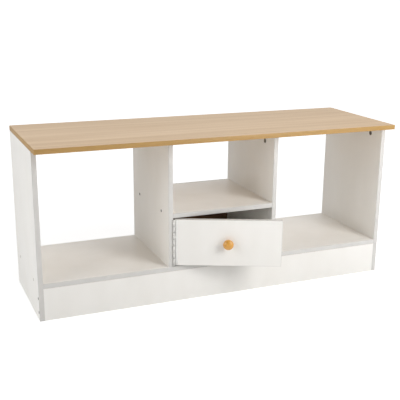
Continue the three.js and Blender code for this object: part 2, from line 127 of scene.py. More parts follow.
class StandSizes(bpy.types.PropertyGroup):
    """Sizes of the details that the frame leaves plain."""

    band_round: length_setting("Band rounding", "Radius along an edge band's outer edges", 0.7 * MM)
    knob_bore: length_setting("Knob bore", "Depth of the hole for the knob's screw", 13 * MM)
    leaf_thickness: length_setting("Leaf thickness", "Sheet that the hinge is rolled from", 0.8 * MM)
    knuckle_radius: length_setting("Knuckle radius", "Outside of the rolled knuckles", 2.5 * MM)
    knuckles: bpy.props.IntProperty(
        name="Knuckles", description="Knuckles up the whole hinge", default=7, min=3
    )
    knuckle_gap: length_setting("Knuckle gap", "Play between two knuckles", 0.15 * MM)
    thread_pitch: length_setting("Thread pitch", "Pitch of the board screws", 2.2 * MM)
    pin_head: length_setting("Panel pin head", "Radius of the pins in the cupboard's back", 1.1 * MM)


class StandStage(bpy.types.PropertyGroup):
    """Floor, light and camera."""

    floor: colour_setting("Floor", "Pale floor", (0.84, 0.84, 0.84))
    near_glow: light_setting("Floor glow", "How much whiter the floor looks round the stand", 0.42)
    far_glow: light_setting("Far floor glow", "How much whiter it looks further away", 0.62)
    surround: light_setting("Surround", "White surround, behind and beside the stand", 0.83)
    surround_front: light_setting("Surround in front", "The same, on the camera's side", 0.0)
    key: power_setting("Key light", "Large soft light from the front right", 16.5)
    side: power_setting("Side light", "Large soft light from the left", 37.5)
    high: power_setting("High light", "Large soft light from the front, above the camera", 31)
    lens: bpy.props.FloatProperty(
        name="Lens", description="Focal length in millimetres on a 36 mm sensor", default=69.25, min=1
    )


# ---------------------------------------------------------------- making pieces


def outward_mesh(bm, name):
    """Turns a bmesh into a mesh whose faces point outwards, and frees the bmesh."""
    bmesh.ops.recalc_face_normals(bm, faces=bm.faces)
    mesh = bpy.data.meshes.new(name)
    bm.to_mesh(mesh)
    bm.free()
    return mesh


def finish_piece(name, bm, body, material, stands_for=(), place=SETTLED, smooth=35):
    """Turns a bmesh into a piece of the stand that rides on a body and stands for frame nodes."""
    bmesh.ops.transform(bm, matrix=place, verts=bm.verts)
    bmesh.ops.remove_doubles(bm, verts=bm.verts, dist=1e-7)
    mesh = outward_mesh(bm, name)
    mesh.shade_smooth()
    mesh.set_sharp_from_angle(angle=math.radians(smooth))
    mesh.materials.append(material)
    piece = bpy.data.objects.new(name, mesh)
    bpy.context.scene.collection.objects.link(piece)
    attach(piece, body)
    if stands_for:
        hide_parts(*stands_for)
    return piece


def paint(node, material):
    """Gives a frame node its finish."""
    mesh = nodes[node].data
    mesh.materials.clear()
    mesh.materials.append(material)


def new_verts(bm, known):
    return [vert for vert in bm.verts if vert not in known]


def add_block(bm, low, high):
    """A rectangular block between two corners. Returns its vertices."""
    size = high - low
    middle = (low + high) / 2
    matrix = Matrix.Translation(middle) @ Matrix.Diagonal((*size, 1))
    return bmesh.ops.create_cube(bm, size=1, matrix=matrix)["verts"]


def add_turned(bm, outline, steps, place):
    """Spins an outline of (radius, height) points about the Z axis of a place."""
    known = set(bm.verts)
    points = [bm.verts.new((radius, 0, height)) for radius, height in outline]
    edges = [bm.edges.new(pair) for pair in zip(points, points[1:])]
    bmesh.ops.spin(
        bm, geom=points + edges, cent=(0, 0, 0), axis=(0, 0, 1), angle=math.tau, steps=steps, use_merge=True
    )
    made = new_verts(bm, known)
    bmesh.ops.remove_doubles(bm, verts=made, dist=1e-7)
    made = new_verts(bm, known)
    bmesh.ops.transform(bm, matrix=place, verts=made)
    return made


def facing(direction, point):
    """A place whose +Z looks along a direction."""
    return Matrix.Translation(point) @ direction.to_track_quat("Z", "Y").to_matrix().to_4x4()


def arc(centre, radius, start, end, steps):
    """Points (x, y) along an arc, with angles in degrees."""
    points = []
    for i in range(steps + 1):
        angle = math.radians(start + (end - start) * i / steps)
        points.append((centre[0] + radius * math.cos(angle), centre[1] + radius * math.sin(angle)))
    return points


def carve(bm, cutter):
    """Cuts one closed bmesh out of another and returns what is left."""
    targets = []
    for label, source in (("carved", bm), ("cutter", cutter)):
        mesh = bpy.data.meshes.new(label)
        source.to_mesh(mesh)
        source.free()
        piece = bpy.data.objects.new(label, mesh)
        bpy.context.scene.collection.objects.link(piece)
        targets.append(piece)
    body, tool = targets
    modifier = body.modifiers.new("carve", "BOOLEAN")
    modifier.object = tool
    modifier.operation = "DIFFERENCE"
    modifier.solver = "EXACT"
    graph = bpy.context.evaluated_depsgraph_get()
    graph.update()
    left = bmesh.new()
    left.from_mesh(body.evaluated_get(graph).to_mesh())
    for piece in targets:
        mesh = piece.data
        bpy.data.objects.remove(piece)
        bpy.data.meshes.remove(mesh)
    return left


def stamped(mesh, places):
    """A bmesh with a copy of a mesh at each place. The mesh itself is then removed."""
    bm = bmesh.new()
    for place in places:
        known = set(bm.verts)
        bm.from_mesh(mesh)
        bmesh.ops.transform(bm, matrix=place, verts=new_verts(bm, known))
    bpy.data.meshes.remove(mesh)
    return bm


# ---------------------------------------------------------------- finishes


def add_node(tree, kind, inputs=None, **settings):
    """Adds a node and gives each of its inputs a value, or a link from another node's socket."""
    made = tree.nodes.new(kind)
    for name, value in settings.items():
        setattr(made, name, value)
    for socket, value in (inputs or {}).items():
        if isinstance(value, bpy.types.NodeSocket):
            tree.links.new(value, made.inputs[socket])
        else:
            made.inputs[socket].default_value = value
    return made


class Recipe:
    """A material being mixed: it makes nodes, sets their inputs and links them."""

    def __init__(self, name, turn=0.0):
        self.material = bpy.data.materials.new(name)
        self.material.use_nodes = True
        self.tree = self.material.node_tree
        self.shader = self.tree.nodes["Principled BSDF"]
        places = self.node("ShaderNodeTexCoord")
        self.normal = places.outputs["Normal"]
        self.where = places.outputs["Object"]
        if turn:
            turned = self.node("ShaderNodeMapping", {"Vector": self.where, "Rotation": (0, 0, turn)})
            self.where = turned.outputs["Vector"]

    def node(self, kind, inputs=None, **settings):
        return add_node(self.tree, kind, inputs, **settings)

    def stretched(self, scale):
        """Coordinates scaled along each axis, in cycles a metre."""
        return self.node("ShaderNodeMapping", {"Vector": self.where, "Scale": scale}).outputs["Vector"]

    def noise(self, vector, scale, detail, roughness, distortion=0.0):
        inputs = {"Vector": vector, "Scale": scale, "Detail": detail, "Roughness": roughness}
        return self.node("ShaderNodeTexNoise", {**inputs, "Distortion": distortion}).outputs["Fac"]

    def spread(self, value, low, high, to_low=0.0, to_high=1.0):
        """Maps low..high of a value to to_low..to_high, and holds it there."""
        inputs = {"Value": value, "From Min": low, "From Max": high, "To Min": to_low, "To Max": to_high}
        return self.node("ShaderNodeMapRange", inputs).outputs["Result"]

    def maths(self, operation, a, b=0.5):
        return self.node("ShaderNodeMath", {0: a, 1: b}, operation=operation).outputs[0]

    def blend(self, first, *others):
        """Adds up (value, weight) pairs."""
        total = self.maths("MULTIPLY", *first)
        for pair in others:
            total = self.maths("ADD", total, self.maths("MULTIPLY", *pair))
        return total

    def mix(self, share, a, b):
        """Mixes two colours, each an RGB triple or a socket."""
        solid = [value if isinstance(value, bpy.types.NodeSocket) else (*value, 1) for value in (a, b)]
        inputs = {0: share, 6: solid[0], 7: solid[1]}
        return self.node("ShaderNodeMix", inputs, data_type="RGBA").outputs[2]

    def mottled(self, pattern, colour, darkest):
        """A colour that falls to a share of itself where a pattern is high."""
        darker = [darkest * channel for channel in colour]
        return self.mix(self.spread(pattern, 0.3, 0.7), colour, darker)

    def along(self, axis):
        """How squarely a face looks along an axis, from 0 to 1."""
        split = self.node("ShaderNodeSeparateXYZ", {0: self.normal})
        return self.maths("ABSOLUTE", split.outputs[AXES[axis]])

    def bump(self, height, distance, strength):
        made = self.node("ShaderNodeBump", {"Height": height, "Distance": distance, "Strength": strength})
        self.tree.links.new(made.outputs["Normal"], self.shader.inputs["Normal"])

    def finish(self, colour, roughness, **others):
        for name, value in {"Base Color": colour, "Roughness": roughness, **others}.items():
            socket = self.shader.inputs[name.replace("_", " ")]
            if isinstance(value, bpy.types.NodeSocket):
                self.tree.links.new(value, socket)
            else:
                socket.default_value = (*value, 1) if socket.type == "RGBA" else value
        return self.material


def chipboard_core(recipe, finishes):
    """Colour and height of a cut board's core: pressed chips with dark flakes and fine dust."""
    chips = recipe.node("ShaderNodeTexVoronoi", {"Vector": recipe.stretched((1, 1, 1.6)), "Scale": 420})
    tone = recipe.node("ShaderNodeSeparateColor", {0: chips.outputs["Color"]}).outputs[0]
    dust = recipe.noise(recipe.where, 1500, 3, 0.7)
    light = recipe.mix(recipe.spread(dust, 0.3, 0.7), finishes.chipboard, (0.55, 0.40, 0.25))
    core = recipe.mix(recipe.spread(tone, 0.55, 0.95), light, finishes.chip_dark)
    return core, chips.outputs["Distance"]


def bare_edges(recipe, finishes, face_axis, colour, roughness, height):
    """Leaves the coated look on faces along an axis and shows the bare core on every other face."""
    core, chips = chipboard_core(recipe, finishes)
    cut_edge = recipe.spread(recipe.along(face_axis), 0.7, 0.75, 1, 0)
    colour = recipe.mix(cut_edge, colour, core)
    roughness = recipe.maths("MAXIMUM", roughness, recipe.maths("MULTIPLY", cut_edge, 0.85))
    chip_height = recipe.maths("MULTIPLY", cut_edge, recipe.maths("MULTIPLY", chips, 14))
    return colour, roughness, recipe.maths("ADD", height, chip_height)


def melamine(name, finishes, face_axis=None, turn=0.0):
    """White melamine: a faint cloudy print under a fine pearl texture, with raw chipboard on cut edges."""
    recipe = Recipe(name, turn)
    clouds = recipe.noise(recipe.stretched((1, 1, 0.4)), 9, 3, 0.55)
    colour = recipe.mix(recipe.spread(clouds, 0.35, 0.7), finishes.white_board, finishes.white_shade)
    pearl = recipe.noise(recipe.where, 1100, 2, 0.6)
    smears = recipe.noise(recipe.stretched((1, 1, 0.5)), 26, 3, 0.6)
    roughness = recipe.spread(smears, 0.3, 0.7, 0.34, 0.46)
    height = recipe.spread(pearl, 0.35, 0.65)
    if face_axis:
        colour, roughness, height = bare_edges(recipe, finishes, face_axis, colour, roughness, height)
    recipe.bump(height, 0.02 * MM, 0.35)
    return recipe.finish(colour, roughness, IOR=1.48)


def white_band_finish(finishes, turn=0.0, name="white_band"):
    """White edge band: a harder, smoother white with a faint fine texture."""
    recipe = Recipe(name, turn)
    mottle = recipe.noise(recipe.where, 40, 3, 0.6)
    colour = recipe.mottled(mottle, finishes.white_band, 0.95)
    grain = recipe.noise(recipe.where, 1400, 2, 0.6)
    recipe.bump(grain, 0.015 * MM, 0.3)
    return recipe.finish(colour, recipe.spread(mottle, 0.3, 0.7, 0.30, 0.40), IOR=1.5)


def beech_print(name, finishes, light, dark, face_axis=None):
    """Beech effect: straight fine grain along X, with broad slow bands and short dark flecks."""
    recipe = Recipe(name)
    drift = recipe.noise(recipe.stretched((0.8, 2.2, 2.2)), 1.6, 2, 0.5)
    bands = recipe.noise(recipe.stretched((0.7, 26, 26)), 1, 4, 0.6, 0.35)
    lines = recipe.noise(recipe.stretched((2.2, 330, 330)), 1, 3, 0.6)
    share = recipe.blend((bands, 0.55), (lines, 0.35), (drift, 0.25))
    colour = recipe.mix(recipe.spread(share, 0.42, 0.74), light, dark)
    flecks = recipe.noise(recipe.stretched((120, 1500, 1500)), 1, 1, 0.5)
    fleck_share = recipe.spread(flecks, 0.66, 0.74, 0, 0.45)
    colour = recipe.mix(fleck_share, colour, finishes.beech_fleck)
    roughness = recipe.spread(lines, 0.3, 0.7, 0.36, 0.46)
    height = recipe.maths("SUBTRACT", recipe.spread(lines, 0.3, 0.7), fleck_share)
    if face_axis:
        colour, roughness, height = bare_edges(recipe, finishes, face_axis, colour, roughness, height)
    recipe.bump(height, 0.02 * MM, 0.3)
    return recipe.finish(colour, roughness, IOR=1.48)


def turned_beech(finishes):
    """Lacquered beech, with its grain along the knob's own axis."""
    recipe = Recipe("turned_beech", -ajar)
    rings = recipe.noise(recipe.stretched((150, 25, 110)), 1, 3, 0.55, 0.6)
    lines = recipe.noise(recipe.stretched((900, 90, 900)), 1, 3, 0.6)
    share = recipe.blend((rings, 0.65), (lines, 0.35))
    colour = recipe.mix(recipe.spread(share, 0.38, 0.64), finishes.knob_light, finishes.knob_dark)
    recipe.bump(lines, 0.03 * MM, 0.25)
    roughness = recipe.spread(lines, 0.3, 0.7, 0.30, 0.40)
    return recipe.finish(colour, roughness, Coat_Weight=0.5, Coat_Roughness=0.16)


def hardboard_finish(finishes):
    """Bare hardboard: a smooth brown fibre face, and a woven screen mark on the face that looks back."""
    recipe = Recipe("hardboard")
    fibres = recipe.noise(recipe.stretched((90, 90, 700)), 1, 4, 0.65, 0.5)
    mottle = recipe.noise(recipe.where, 30, 4, 0.6)
    share = recipe.blend((fibres, 0.5), (mottle, 0.5))
    darker = [0.62 * channel for channel in finishes.hardboard]
    colour = recipe.mix(recipe.spread(share, 0.35, 0.65), finishes.hardboard, darker)
    screen = {"Vector": recipe.where, "Scale": 180}
    warp, weft = (recipe.node("ShaderNodeTexWave", screen, bands_direction=way) for way in ("X", "Z"))
    weave = recipe.maths("MULTIPLY", warp.outputs["Fac"], weft.outputs["Fac"])
    back_to_front = recipe.node("ShaderNodeSeparateXYZ", {0: recipe.normal}).outputs[1]
    backward = recipe.spread(back_to_front, 0.4, 0.6)
    height = recipe.blend((weave, backward), (fibres, 0.3))
    recipe.bump(height, 0.2 * MM, 0.6)
    return recipe.finish(colour, recipe.spread(mottle, 0.3, 0.7, 0.55, 0.72))


def metal(name, colour, low, high, grain=600, turn=0.0):
    """Plated metal with a little tarnish in its roughness and colour."""
    recipe = Recipe(name, turn)
    tarnish = recipe.noise(recipe.where, grain, 4, 0.65)
    fine = recipe.noise(recipe.where, grain * 6, 2, 0.6)
    tone = recipe.mottled(tarnish, colour, 0.72)
    recipe.bump(fine, 0.01 * MM, 0.3)
    return recipe.finish(tone, recipe.spread(tarnish, 0.3, 0.7, low, high), Metallic=1.0)


def hinge_enamel(finishes):
    """White stoving enamel on steel, with a slight orange peel."""
    recipe = Recipe("hinge_enamel")
    peel = recipe.noise(recipe.where, 900, 2, 0.5)
    mottle = recipe.noise(recipe.where, 60, 3, 0.6)
    colour = recipe.mottled(mottle, finishes.hinge_paint, 0.94)
    recipe.bump(peel, 0.03 * MM, 0.4)
    return recipe.finish(colour, recipe.spread(peel, 0.3, 0.7, 0.26, 0.36), Coat_Weight=0.2)


def moulded_plastic(finishes):
    """White moulded plastic, finely eroded."""
    recipe = Recipe("moulded_plastic")
    spark = recipe.noise(recipe.where, 1800, 2, 0.6)
    mottle = recipe.noise(recipe.where, 70, 3, 0.6)
    colour = recipe.mottled(mottle, finishes.white_plastic, 0.95)
    recipe.bump(spark, 0.02 * MM, 0.35)
    return recipe.finish(colour, recipe.spread(spark, 0.3, 0.7, 0.38, 0.5), Subsurface_Weight=0.05)


# ---------------------------------------------------------------- boards and bands


class STAND_OT_white_boards(bpy.types.Operator):
    """Finish the white carcass boards"""

    bl_idname = "stand.white_boards"
    bl_label = "White boards"

    def execute(self, context):
        finishes = context.scene.stand_finishes
        upright = melamine("white_board_upright", finishes, "x")
        level = melamine("white_board_level", finishes, "z")
        facing_front = melamine("white_board_front", finishes, "y")
        for node in ("left_side_panel", "right_side_panel", "left_divider", "right_divider"):
            paint(node, upright)
        for node in ("base_panel", "middle_shelf"):
            paint(node, level)
        paint("front_plinth", facing_front)
        paint("door_panel", melamine("white_board_door", finishes, turn=-ajar))
        return {"FINISHED"}


class STAND_OT_beech_top(bpy.types.Operator):
    """Finish the beech-effect top"""

    bl_idname = "stand.beech_top"
    bl_label = "Beech top"

    def execute(self, context):
        finishes = context.scene.stand_finishes
        paint("top_panel", beech_print("beech_top", finishes, finishes.beech_light, finishes.beech_dark, "z"))
        return {"FINISHED"}


def rounded_strip(bm, low, high, outward, radius):
    """A band between two corners, with its outer edges rounded."""
    verts = add_block(bm, low, high)
    reach = max(outward.dot(vert.co) for vert in verts)
    outer = [vert for vert in verts if outward.dot(vert.co) > reach - 1e-6]
    edges = [edge for edge in bm.edges if edge.verts[0] in outer and edge.verts[1] in outer]
    bmesh.ops.bevel(
        bm, geom=edges, offset=radius, offset_type="OFFSET",
        segments=3, profile=0.5, affect="EDGES", material=-1,
    )


class STAND_OT_edge_bands(bpy.types.Operator):
    """Round the edge bands of the top and the carcass"""

    bl_idname = "stand.edge_bands"
    bl_label = "Edge bands"

    def execute(self, context):
        finishes, sizes = context.scene.stand_finishes, context.scene.stand_sizes
        beech = beech_print("beech_band", finishes, finishes.band_light, finishes.band_dark)
        white = white_band_finish(finishes)
        ways = (("front", FORWARD), ("left", LEFT), ("right", RIGHT))
        bands = [(f"top_{side}_band", outward, beech, "beech_band") for side, outward in ways]
        uprights = ("left_side_panel", "right_side_panel", "left_divider", "right_divider")
        for board in (*uprights, "base_panel", "middle_shelf"):
            bands.append((f"{board}_band", FORWARD, white, "white_band"))
        for node, outward, material, slot in bands:
            bm = bmesh.new()
            low, high = box_in(node)
            rounded_strip(bm, low, high, outward, sizes.band_round)
            finish_piece(f"{node}_rounded", bm, "carcass", material, [node], smooth=30)
        return {"FINISHED"}


class STAND_OT_door_band(bpy.types.Operator):
    """Band the door's four edges"""

    bl_idname = "stand.door_band"
    bl_label = "Door band"

    def execute(self, context):
        finishes, sizes = context.scene.stand_finishes, context.scene.stand_sizes
        low, high = box_in("door_band", SHUT_TO_AJAR)
        core_low, core_high = box_in("door_panel", SHUT_TO_AJAR)
        bm = bmesh.new()
        strips = [
            (Vector((low.x, low.y, low.z)), Vector((core_low.x, high.y, high.z)), LEFT),
            (Vector((core_high.x, low.y, low.z)), Vector((high.x, high.y, high.z)), RIGHT),
            (Vector((core_low.x, low.y, low.z)), Vector((core_high.x, high.y, core_low.z)), DOWN),
            (Vector((core_low.x, low.y, core_high.z)), Vector((core_high.x, high.y, high.z)), UP),
        ]
        for strip_low, strip_high, outward in strips:
            rounded_strip(bm, strip_low, strip_high, outward, sizes.band_round)
        white = white_band_finish(finishes, -ajar, "door_band_white")
        finish_piece("door_band_rounded", bm, "door", white, ["door_band"], SHUT_TO_AJAR, 30)
        return {"FINISHED"}


# ---------------------------------------------------------------- cupboard back


class STAND_OT_cupboard_back(bpy.types.Operator):
    """Finish the hardboard back and drive its panel pins"""

    bl_idname = "stand.cupboard_back"
    bl_label = "Cupboard back"

    def execute(self, context):
        finishes, sizes = context.scene.stand_finishes, context.scene.stand_sizes
        paint("cupboard_back", hardboard_finish(finishes))
        low, high = box_in("cupboard_back")
        shelf_low, shelf_high = box_in("middle_shelf")
        shelf_middle = (shelf_low.z + shelf_high.z) / 2
        head = sizes.pin_head
        crown = 0.35 * MM
        length = 16 * MM
        outline = [(0, -length), (0.35 * head, -length + 1.5 * MM), (0.35 * head, -0.4 * MM)]
        outline += [(head, 0), (head, 0.5 * crown), (0.6 * head, crown), (0, crown)]
        bm = bmesh.new()
        columns = 6
        inset = 22 * MM
        for i in range(columns):
            x = low.x + inset + (high.x - low.x - 2 * inset) * i / (columns - 1)
            add_turned(bm, outline, 16, facing(BACKWARD, Vector((x, high.y, shelf_middle))))
        steel = metal("pin_steel", finishes.bright_steel, 0.32, 0.48)
        finish_piece("cupboard_back_pins", bm, "carcass", steel, smooth=40)
        return {"FINISHED"}


# ---------------------------------------------------------------- screws and fittings

# Shank radius, head radius and thread pitch of each kind of small screw.
SMALL_SCREW = (1.4 * MM, 2.8 * MM, 1.2 * MM)
KNOB_SCREW = (2 * MM, 3.8 * MM, 0.7 * MM)
LEAF_SCREW = (1.2 * MM, 2.3 * MM, 1.2 * MM)
BOARD_SHANK, BOARD_HEAD = 2.4 * MM, 4.7 * MM


def cross_recess(bm, rim, radius, depth):
    """Closes a rim at z = 0 with a flat that has a tapered cross slot sunk in it."""
    arm, half = 0.62 * radius, 0.17 * radius
    corners = []
    for quarter in range(4):
        turn = Matrix.Rotation(quarter * math.pi / 2, 3, "Z")
        corners += [turn @ Vector((x, y, 0)) for x, y in ((arm, -half), (arm, half), (half, half))]
    loop = [bm.verts.new(corner) for corner in corners]
    edges = [bm.edges.new((loop[i], loop[(i + 1) % len(loop)])) for i in range(len(loop))]
    bmesh.ops.bridge_loops(bm, edges=rim + edges)
    sunk = bmesh.ops.extrude_edge_only(bm, edges=edges)["geom"]
    floor_verts = [item for item in sunk if isinstance(item, bmesh.types.BMVert)]
    floor_edges = [item for item in sunk if isinstance(item, bmesh.types.BMEdge)]
    bmesh.ops.scale(bm, vec=(0.62, 0.62, 1), verts=floor_verts)
    bmesh.ops.translate(bm, vec=(0, 0, -depth), verts=floor_verts)
    bmesh.ops.contextual_create(bm, geom=floor_edges)


def draw_down(bm, edges, radius_factor, depth):
    """Extrudes a loop down and scales it. Returns the new loop's edges."""
    made = bmesh.ops.extrude_edge_only(bm, edges=edges)["geom"]
    verts = [item for item in made if isinstance(item, bmesh.types.BMVert)]
    bmesh.ops.scale(bm, vec=(radius_factor, radius_factor, 1), verts=verts)
    bmesh.ops.translate(bm, vec=(0, 0, -depth), verts=verts)
    return [item for item in made if isinstance(item, bmesh.types.BMEdge)]


def screw_mesh(name, length, shank, head, pitch, segments=32):
    """A countersunk cross-head wood screw, its head's flat at the origin and its point down."""
    flat = 0.93  # share of the head's radius
    root, tip = 0.72, 0.12  # shares of the shank's radius
    easing, edge, run_in = 0.12 * MM, 0.35 * MM, 0.6 * MM
    cone = head - shank
    bm = bmesh.new()
    bmesh.ops.create_circle(bm, cap_ends=False, radius=flat * head, segments=segments)
    rim = list(bm.edges)
    loop = draw_down(bm, rim, 1 / flat, easing)
    loop = draw_down(bm, loop, 1, edge)
    loop = draw_down(bm, loop, shank / head, cone)
    loop = draw_down(bm, loop, root, run_in)
    used = easing + edge + cone + run_in
    while used < length - 3 * shank:
        loop = draw_down(bm, loop, 1 / root, 0.4 * pitch)
        loop = draw_down(bm, loop, root, 0.2 * pitch)
        loop = draw_down(bm, loop, 1, 0.4 * pitch)
        used += pitch
    loop = draw_down(bm, loop, tip, length - used)
    bmesh.ops.contextual_create(bm, geom=loop)
    cross_recess(bm, rim, head, 0.75 * shank)
    return outward_mesh(bm, name)


def head_place(node, outward, place=SETTLED):
    """The place of a screw's head: the middle of its node's outer end."""
    low, high = box_in(node, place)
    middle = (low + high) / 2
    reach = (high - low) / 2
    return facing(outward, middle + Vector([reach[i] * outward[i] for i in range(3)]))


def screw_length(node, outward, place=SETTLED):
    low, high = box_in(node, place)
    return abs((high - low).dot(outward))


def screw_set(name, node_facings, size, body, material, place=SETTLED):
    """One piece for like screws, given as (frame node, the way its head looks)."""
    length = screw_length(*node_facings[0], place)
    mesh = screw_mesh(f"{name}_one", length, *size)
    bm = stamped(mesh, [head_place(node, outward, place) for node, outward in node_facings])
    replaced = [node for node, _ in node_facings]
    finish_piece(name, bm, body, material, replaced, place)


class STAND_OT_board_screws(bpy.types.Operator):
    """Drive the dark bronze screws that join the boards; their near-black colour is partly painted shade of
    their sunk holes
    """

    bl_idname = "stand.board_screws"
    bl_label = "Board screws"

    def execute(self, context):
        finishes, sizes = context.scene.stand_finishes, context.scene.stand_sizes
        # The screws' nearly black colour is partly painted shade of their sunk holes.
        screw_metal_and_painted_shade = metal("bronze_steel", finishes.bronze_steel, 0.34, 0.5)
        size = (BOARD_SHANK, BOARD_HEAD, sizes.thread_pitch)
        kinds = {"base": ("front", "rear"), "plinth": ("upper", "lower"), "shelf": ("front", "rear")}
        for kind, places in kinds.items():
            heads = []
            for side, outward in (("left", LEFT), ("right", RIGHT)):
                heads += [(f"{side}_{kind}_screw_{where}", outward) for where in places]
            screw_set(f"{kind}_screws", heads, size, "carcass", screw_metal_and_painted_shade)
        self.foot_screws(screw_metal_and_painted_shade, size)
        return {"FINISHED"}

    def foot_screws(self, screw_metal_and_painted_shade, size):
        """Screws up through the base into the dividers, in the countersinks under the base."""
        underside = box_in("base_panel")[0].z
        places = []
        for side in ("left", "right"):
            low, high = box_in(f"{side}_divider")
            for where in ("front", "rear"):
                shelf_low, shelf_high = box_in(f"{side}_shelf_screw_{where}")
                y = (shelf_low.y + shelf_high.y) / 2
                places.append(facing(DOWN, Vector(((low.x + high.x) / 2, y, underside))))
        length = 44 * MM
        bm = stamped(screw_mesh("foot_screw_one", length, *size), places)
        finish_piece("divider_foot_screws", bm, "carcass", screw_metal_and_painted_shade)


class STAND_OT_screw_caps(bpy.types.Operator):
    """Press white caps over the base screws"""

    bl_idname = "stand.screw_caps"
    bl_label = "Screw caps"

    def execute(self, context):
        finishes = context.scene.stand_finishes
        plastic = moulded_plastic(finishes)
        bm = bmesh.new()
        radius, gap, dome, rounding = 4.8 * MM, 0.05 * MM, 0.3 * MM, 0.2 * MM
        for side, outward in (("left", LEFT), ("right", RIGHT)):
            panel_low, panel_high = box_in(f"{side}_side_panel")
            skin = panel_low.x if outward.x < 0 else panel_high.x
            for where in ("front", "rear"):
                low, high = box_in(f"{side}_base_screw_{where}")
                head = low.x if outward.x < 0 else high.x
                crown = abs(skin - head) - gap
                rim = crown - dome
                outline = [(0, gap), (radius, gap), (radius, rim - rounding)]
                outline += [(radius - 0.3 * rounding, rim - 0.3 * rounding), (radius - rounding, rim)]
                outline += [(0.6 * radius, crown - 0.08 * MM), (0.3 * radius, crown), (0, crown)]
                place = facing(outward, Vector((head, (low.y + high.y) / 2, (low.z + high.z) / 2)))
                add_turned(bm, outline, 40, place)
        finish_piece("base_screw_caps", bm, "carcass", plastic, smooth=40)
        return {"FINISHED"}


class STAND_OT_cam_fittings(bpy.types.Operator):
    """Set the cams into the uprights and finish their bolts"""

    bl_idname = "stand.cam_fittings"
    bl_label = "Cam fittings"

    def execute(self, context):
        finishes = context.scene.stand_finishes
        zinc = metal("dark_zinc", finishes.dark_zinc, 0.4, 0.58, 500)
        steel = metal("bolt_steel", finishes.bright_steel, 0.3, 0.45)
        for board in ("side", "divider"):
            for side, inward in (("left", RIGHT), ("right", LEFT)):
                names = [f"{side}_{board}_cam_{where}" for where in ("front", "rear")]
                cam = self.cam(*box_in(names[0]))
                bm = stamped(cam, [self.cam_place(name, inward) for name in names])
                finish_piece(f"{side}_{board}_cams", bm, "carcass", zinc, names)
                for where in ("front", "rear"):
                    paint(f"{side}_{board}_cam_bolt_{where}", steel)
        return {"FINISHED"}

    def cam_place(self, name, inward):
        """Its face looks inwards and its bolt's channel opens upwards, along the cam's own +Y."""
        low, high = box_in(name)
        middle = (low + high) / 2
        face = Vector((high.x if inward.x > 0 else low.x, middle.y, middle.z))
        sideways = UP.cross(inward)
        turn = Matrix((sideways, UP, inward)).transposed().to_4x4()
        return Matrix.Translation(face) @ turn

    def cam(self, low, high):
        """A cam with a rimmed face, a cross slot and a channel for the bolt's head."""
        radius = (high.z - low.z) / 2
        thickness = high.x - low.x
        well, flare, shoulder = 0.8, 1.03, 0.96
        step, bevel = 0.4 * MM, 0.3 * MM
        bm = bmesh.new()
        bmesh.ops.create_circle(bm, cap_ends=False, radius=well * radius, segments=48)
        rim = list(bm.edges)
        bmesh.ops.translate(bm, vec=(0, 0, -step), verts=bm.verts)
        loop = draw_down(bm, rim, flare, -step)
        loop = draw_down(bm, loop, shoulder / (well * flare), 0)
        loop = draw_down(bm, loop, 1 / shoulder, bevel)
        loop = draw_down(bm, loop, 1, thickness - 2 * bevel)
        loop = draw_down(bm, loop, shoulder, bevel)
        bmesh.ops.contextual_create(bm, geom=loop)
        bmesh.ops.translate(bm, vec=(0, 0, step), verts=bm.verts)
        slot_depth = 2.2 * MM
        cross_recess(bm, rim, 0.75 * radius, slot_depth)
        bmesh.ops.translate(bm, vec=(0, 0, -step), verts=bm.verts)
        bmesh.ops.recalc_face_normals(bm, faces=bm.faces)
        bolt_way, bolt_start = 3.6 * MM, Vector((0, -4, -7.2)) * MM
        channel = self.peg(bolt_way, 0, 2 * radius, facing(BACKWARD, bolt_start))
        pocket_floor = -2.6 * MM
        pocket = self.peg(well * radius, pocket_floor, MM, SETTLED)
        off_centre = Matrix.Translation(Vector((-1.5, 1.5, 0)) * MM)
        boss = self.peg(0.72 * radius, 2 * pocket_floor, 2 * MM, off_centre)
        return outward_mesh(carve(carve(bm, channel), carve(pocket, boss)), "cam_one")

    def peg(self, radius, low, high, place):
        bm = bmesh.new()
        add_turned(bm, [(0, low), (radius, low), (radius, high), (0, high)], 32, place)
        bmesh.ops.recalc_face_normals(bm, faces=bm.faces)
        return bm


# ---------------------------------------------------------------- door


